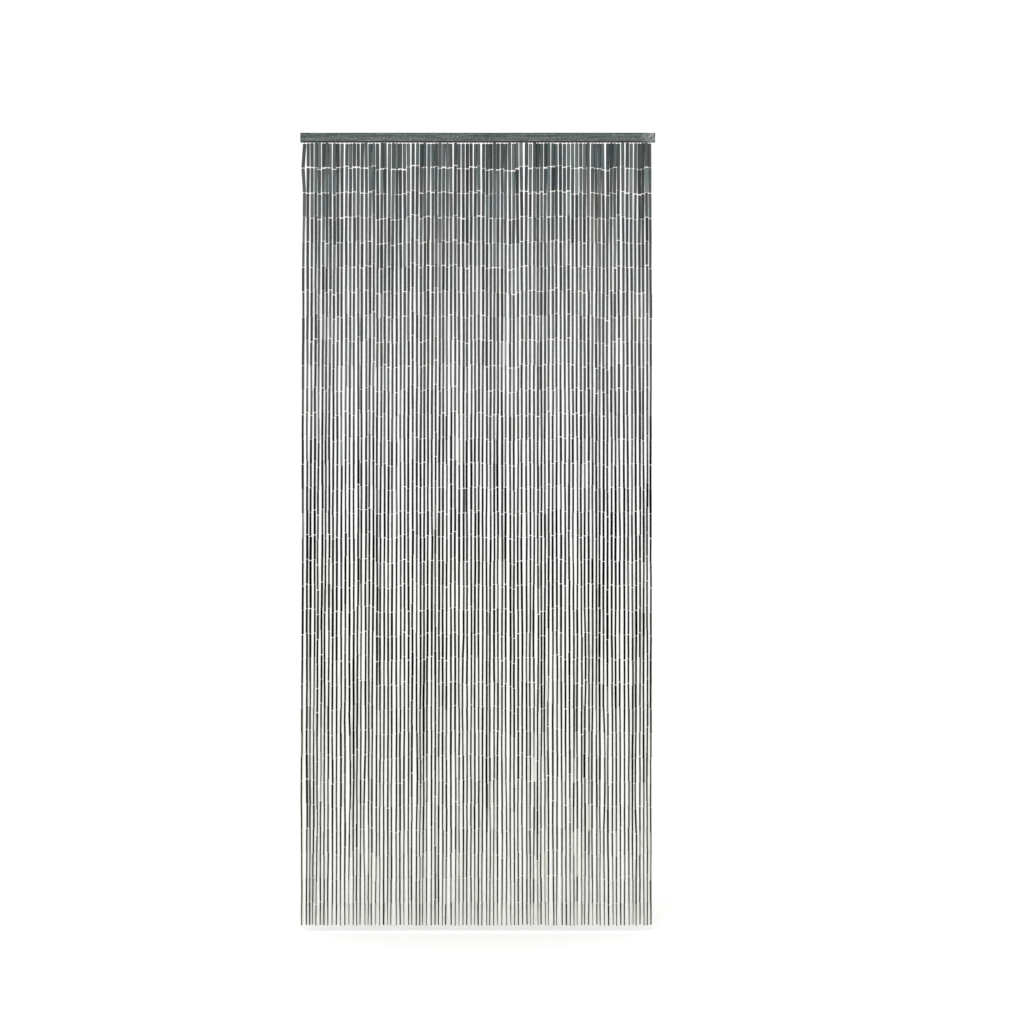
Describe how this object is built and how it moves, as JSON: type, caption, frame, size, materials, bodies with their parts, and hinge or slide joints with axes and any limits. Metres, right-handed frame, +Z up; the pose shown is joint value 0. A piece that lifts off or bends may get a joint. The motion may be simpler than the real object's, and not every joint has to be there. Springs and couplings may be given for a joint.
{
  "type": "bamboo bead door curtain with header rail",
  "caption": "Door curtain of strung bamboo tubes hanging from a slim wooden header rail, painted charcoal at the top and fading to pale at the bottom.",
  "frame": {"origin": "centre of the header rail's back face, which lies against the wall over the doorway", "axes": "+Z up, front towards -Y, +X to the right of someone facing the front"},
  "size_m": [0.9, 0.015, 2],
  "materials": {
    "rail_paint": "painted",
    "bead_paint": "painted",
    "link_wire": "galvanised"
  },
  "bodies": {
    "root": {"header_rail": "rail_paint", "bead_strands": "bead_paint"}
  },
  "joints": []
}
